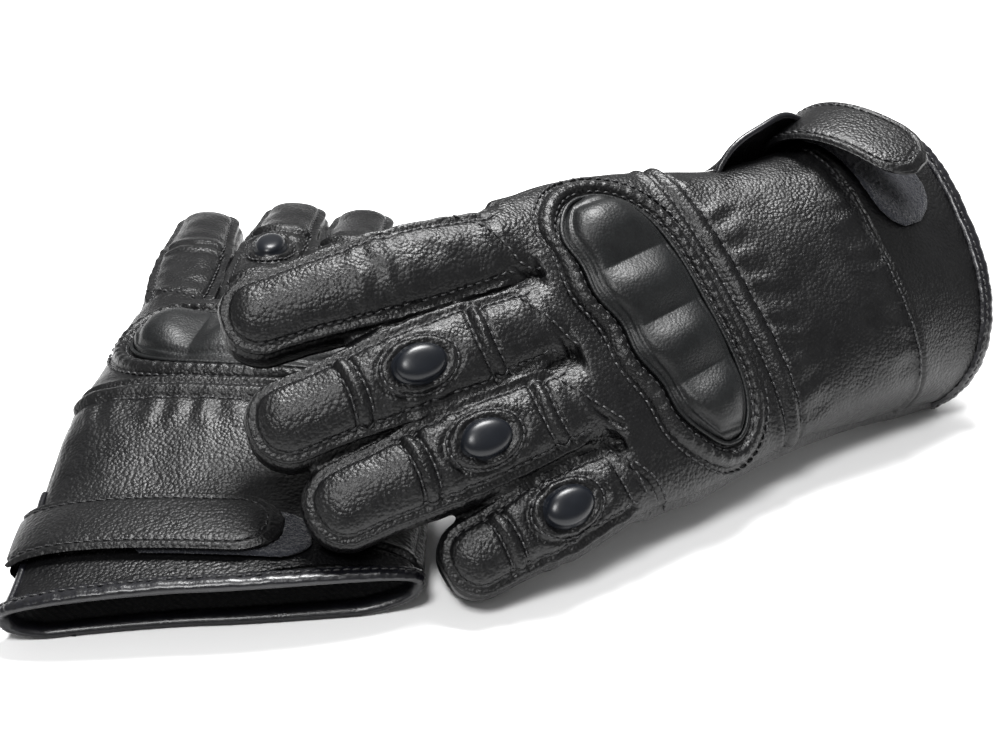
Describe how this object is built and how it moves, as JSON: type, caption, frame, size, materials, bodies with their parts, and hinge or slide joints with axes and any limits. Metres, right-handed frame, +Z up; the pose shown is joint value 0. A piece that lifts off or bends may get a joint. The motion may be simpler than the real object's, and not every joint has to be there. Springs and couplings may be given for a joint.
{
  "type": "riding gloves",
  "caption": "Pair of short black leather riding gloves with moulded knuckle guards, hard finger domes and wrist straps; one leans on the other.",
  "frame": {"origin": "centre of the pair's footprint, on the surface that the gloves lie on", "axes": "+Z up; the right glove's fingers point towards +Y and its cuff mouth towards -Y; the left glove lies across it with its cuff towards +X"},
  "size_m": [0.3292, 0.2684, 0.1051],
  "materials": {
    "black_leather": "fine pebbled grain, semi-gloss",
    "smooth_leather": "stretched smooth over a moulding, semi-gloss",
    "binding_leather": "thin rolled binding, glossy with a cool sheen",
    "lining_cloth": "matt knitted lining",
    "foam": "closed-cell foam core",
    "hard_dome": "satin gloss, bluish black",
    "loop_pile": "fuzzy loop pile",
    "hook_pile": "short stiff hooks"
  },
  "bodies": {
    "right_hand": {"right_back_panel": "black_leather", "right_cuff_band": "black_leather", "right_cuff_binding": "binding_leather", "right_guard_surround": "black_leather", "right_gusset": "lining_cloth", "right_knuckle_foam": "foam", "right_knuckle_guard": "smooth_leather", "right_lining": "lining_cloth", "right_little_base": "black_leather", "right_little_dome": "hard_dome", "right_loop_patch": "loop_pile", "right_middle_base": "black_leather", "right_middle_dome": "hard_dome", "right_palm_panel": "black_leather", "right_palm_patch": "black_leather", "right_ring_base": "black_leather", "right_ring_dome": "hard_dome", "right_wrist_panel": "black_leather"},
    "left_hand": {"left_back_panel": "black_leather", "left_cuff_band": "black_leather", "left_cuff_binding": "binding_leather", "left_guard_surround": "black_leather", "left_gusset": "lining_cloth", "left_knuckle_foam": "foam", "left_knuckle_guard": "smooth_leather", "left_lining": "lining_cloth", "left_loop_patch": "loop_pile", "left_palm_panel": "black_leather", "left_palm_patch": "black_leather", "left_wrist_panel": "black_leather"},
    "left_index": {"left_index_base": "black_leather"},
    "left_index_tip": {"left_index_tip": "black_leather"},
    "left_little": {"left_little_base": "black_leather", "left_little_dome": "hard_dome"},
    "left_little_tip": {"left_little_tip": "black_leather"},
    "left_middle": {"left_middle_base": "black_leather", "left_middle_dome": "hard_dome"},
    "left_middle_tip": {"left_middle_tip": "black_leather"},
    "left_ring": {"left_ring_base": "black_leather", "left_ring_dome": "hard_dome"},
    "left_ring_tip": {"left_ring_tip": "black_leather"},
    "left_strap": {"left_hook_patch": "hook_pile", "left_strap": "black_leather"},
    "left_thumb": {"left_thumb": "black_leather"},
    "right_index": {"right_index_base": "black_leather"},
    "right_index_tip": {"right_index_tip": "black_leather"},
    "right_little_tip": {"right_little_tip": "black_leather"},
    "right_middle_tip": {"right_middle_tip": "black_leather"},
    "right_ring_tip": {"right_ring_tip": "black_leather"},
    "right_strap": {"right_hook_patch": "hook_pile", "right_strap": "black_leather"},
    "right_thumb": {"right_thumb": "black_leather"}
  },
  "joints": [
    {"name": "left_glove_lift", "type": "slide", "parent": "right_hand", "child": "left_hand", "axis": [0, 0, 1], "range_m": [0, 0.15]},
    {"name": "left_index_knuckle", "type": "hinge", "parent": "left_hand", "child": "left_index", "pos_m": [-0.00686, -0.03918, 0.09131], "axis": [-0.3404, 0.635, 0.6935], "range_deg": [0, 30]},
    {"name": "left_index_middle_joint", "type": "hinge", "parent": "left_index", "child": "left_index_tip", "pos_m": [-0.05047, -0.06056, 0.08949], "axis": [-0.3404, 0.635, 0.6935], "range_deg": [0, 30]},
    {"name": "left_middle_knuckle", "type": "hinge", "parent": "left_hand", "child": "left_middle", "pos_m": [0.00544, -0.0575, 0.07369], "axis": [-0.4118, 0.5852, 0.6985], "range_deg": [0, 30]},
    {"name": "left_middle_middle_joint", "type": "hinge", "parent": "left_middle", "child": "left_middle_tip", "pos_m": [-0.04178, -0.08438, 0.06838], "axis": [-0.4118, 0.5852, 0.6985], "range_deg": [0, 30]},
    {"name": "left_ring_knuckle", "type": "hinge", "parent": "left_hand", "child": "left_ring", "pos_m": [0.01647, -0.07419, 0.0541], "axis": [-0.4285, 0.5726, 0.6989], "range_deg": [0, 30]},
    {"name": "left_ring_middle_joint", "type": "hinge", "parent": "left_ring", "child": "left_ring_tip", "pos_m": [-0.02558, -0.09895, 0.04861], "axis": [-0.4285, 0.5726, 0.6989], "range_deg": [0, 30]},
    {"name": "left_little_knuckle", "type": "hinge", "parent": "left_hand", "child": "left_little", "pos_m": [0.03021, -0.08529, 0.03327], "axis": [-0.4841, 0.5276, 0.6981], "range_deg": [0, 30]},
    {"name": "left_little_middle_joint", "type": "hinge", "parent": "left_little", "child": "left_little_tip", "pos_m": [0.00252, -0.10354, 0.02786], "axis": [-0.4841, 0.5276, 0.6981], "range_deg": [0, 30]},
    {"name": "left_thumb_swing", "type": "hinge", "parent": "left_hand", "child": "left_thumb", "pos_m": [0.05983, 0.02069, 0.06345], "axis": [-0.4329, 0.5489, -0.7151], "range_deg": [0, 30]},
    {"name": "left_strap_fold", "type": "hinge", "parent": "left_hand", "child": "left_strap", "pos_m": [0.08883, 0.054, 0.08657], "axis": [-0.6376, -0.7472, -0.1876], "range_deg": [-5, 80]},
    {"name": "right_index_knuckle", "type": "hinge", "parent": "right_hand", "child": "right_index", "pos_m": [-0.13291, 0.03411, 0.03187], "axis": [0.9999, 0.0105, 0], "range_deg": [0, 30]},
    {"name": "right_index_middle_joint", "type": "hinge", "parent": "right_index", "child": "right_index_tip", "pos_m": [-0.13342, 0.08269, 0.0306], "axis": [0.9999, 0.0105, 0], "range_deg": [0, 30]},
    {"name": "right_middle_middle_joint", "type": "hinge", "parent": "right_hand", "child": "right_middle_tip", "pos_m": [-0.10067, 0.08696, 0.03322], "axis": [0.9971, -0.0767, 0], "range_deg": [0, 30]},
    {"name": "right_ring_middle_joint", "type": "hinge", "parent": "right_hand", "child": "right_ring_tip", "pos_m": [-0.07211, 0.07983, 0.03329], "axis": [0.9952, -0.0976, 0], "range_deg": [0, 30]},
    {"name": "right_little_middle_joint", "type": "hinge", "parent": "right_hand", "child": "right_little_tip", "pos_m": [-0.04499, 0.05709, 0.03084], "axis": [0.9857, -0.1685, 0], "range_deg": [0, 30]},
    {"name": "right_thumb_swing", "type": "hinge", "parent": "right_hand", "child": "right_thumb", "pos_m": [-0.12796, -0.05651, 0.00971], "axis": [0, 0, 1], "range_deg": [0, 30]},
    {"name": "right_strap_fold", "type": "hinge", "parent": "right_hand", "child": "right_strap", "pos_m": [-0.16432, -0.09654, 0.0123], "axis": [-0.0558, -0.9984, 0], "range_deg": [0, 110]}
  ]
}
